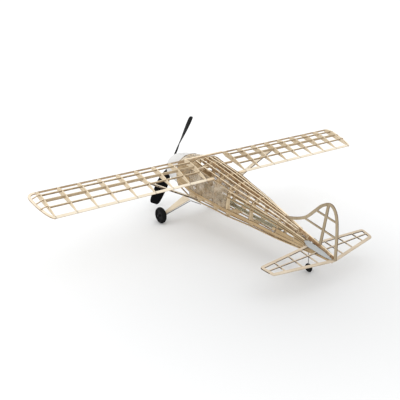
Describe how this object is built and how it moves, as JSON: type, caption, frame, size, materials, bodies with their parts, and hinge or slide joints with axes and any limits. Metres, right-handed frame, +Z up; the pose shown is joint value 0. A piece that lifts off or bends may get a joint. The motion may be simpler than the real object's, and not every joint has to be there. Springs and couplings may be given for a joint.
{
  "type": "rubber powered model aeroplane",
  "caption": "Uncovered balsa stick-and-former model of a high-wing bush plane, with a black paddle propeller driven by a rubber motor and three free-running wheels.",
  "frame": {"origin": "centre of the bounding box, on the surface the three wheels stand on", "axes": "+X towards the port wing tip, -Y forwards along the nose, +Z up; the model stands nose-up on its main wheels and tail wheel"},
  "size_m": [0.6102, 0.3898, 0.1637],
  "materials": {
    "balsa_sheet": "matt, laser-cut edges burnt brown",
    "balsa_strip": "matt",
    "laminated_balsa": "matt, greyish",
    "plywood": "matt",
    "white_plastic": "vacuum-formed, satin gloss",
    "fairing_plastic": "vacuum-formed, satin",
    "clear_sheet": "thin milky clear sheet",
    "black_plastic": "moulded, satin gloss",
    "tyre": "satin black",
    "steel_wire": "bright drawn wire",
    "aluminium_tube": "drawn tube",
    "nylon": "satin",
    "brass_washer": "satin",
    "motor_rubber": "matt strip rubber"
  },
  "bodies": {
    "airframe": {"firewall": "balsa_sheet", "windscreen_former": "balsa_sheet", "cabin_former_front": "balsa_sheet", "cabin_former_rear": "balsa_sheet", "cabin_bulkhead": "balsa_sheet", "tail_former_1": "balsa_sheet", "tail_former_2": "balsa_sheet", "tail_former_3": "balsa_sheet", "tail_former_4": "balsa_sheet", "tail_post": "balsa_sheet", "top_keel": "balsa_sheet", "bottom_keel": "balsa_sheet", "left_upper_longeron": "balsa_strip", "right_upper_longeron": "balsa_strip", "left_lower_longeron": "balsa_strip", "right_lower_longeron": "balsa_strip", "top_stringers": "balsa_strip", "belly_stringers": "balsa_strip", "left_side_stringers": "balsa_strip", "right_side_stringers": "balsa_strip", "windscreen_frame": "balsa_strip", "left_windows": "clear_sheet", "right_windows": "clear_sheet", "windscreen": "clear_sheet", "cowling": "white_plastic", "nose_block": "balsa_sheet", "thrust_bearing": "nylon", "rear_peg": "aluminium_tube", "peg_plates": "plywood", "tail_fillets": "fairing_plastic", "centre_section": "balsa_strip", "left_wing_ribs": "balsa_sheet", "right_wing_ribs": "balsa_sheet", "left_leading_edge": "balsa_strip", "right_leading_edge": "balsa_strip", "left_trailing_edge": "balsa_strip", "right_trailing_edge": "balsa_strip", "left_main_spar": "balsa_sheet", "right_main_spar": "balsa_sheet", "turbulator_spars": "balsa_strip", "left_wing_tip": "balsa_sheet", "right_wing_tip": "balsa_sheet", "left_wing_strut": "balsa_strip", "right_wing_strut": "balsa_strip", "left_gear_leg": "balsa_sheet", "right_gear_leg": "balsa_sheet", "axle_wires": "steel_wire", "wheel_retainers": "steel_wire", "stabiliser_outline": "laminated_balsa", "stabiliser_ribs": "laminated_balsa", "fin_outline": "laminated_balsa", "fin_frame": "laminated_balsa", "tail_wheel_wire": "steel_wire", "rubber_motor": "motor_rubber"},
    "propeller": {"propeller": "black_plastic", "prop_shaft": "steel_wire", "thrust_washer": "brass_washer"},
    "left_wheel": {"left_wheel": "tyre"},
    "right_wheel": {"right_wheel": "tyre"},
    "tail_wheel": {"tail_wheel": "tyre"}
  },
  "joints": [
    {"name": "propeller_spin", "type": "hinge", "parent": "airframe", "child": "propeller", "pos_m": [0, -0.1774, 0.08507], "axis": [0, -0.981, 0.1942], "continuous": true, "deforming": ["rubber_motor"]},
    {"name": "left_wheel_spin", "type": "hinge", "parent": "airframe", "child": "left_wheel", "pos_m": [0.061, -0.12637, 0.0138], "axis": [1, 0, 0], "continuous": true},
    {"name": "right_wheel_spin", "type": "hinge", "parent": "airframe", "child": "right_wheel", "pos_m": [-0.061, -0.12637, 0.0138], "axis": [1, 0, 0], "continuous": true},
    {"name": "tail_wheel_spin", "type": "hinge", "parent": "airframe", "child": "tail_wheel", "pos_m": [0, 0.14802, 0.0064], "axis": [1, 0, 0], "continuous": true}
  ]
}
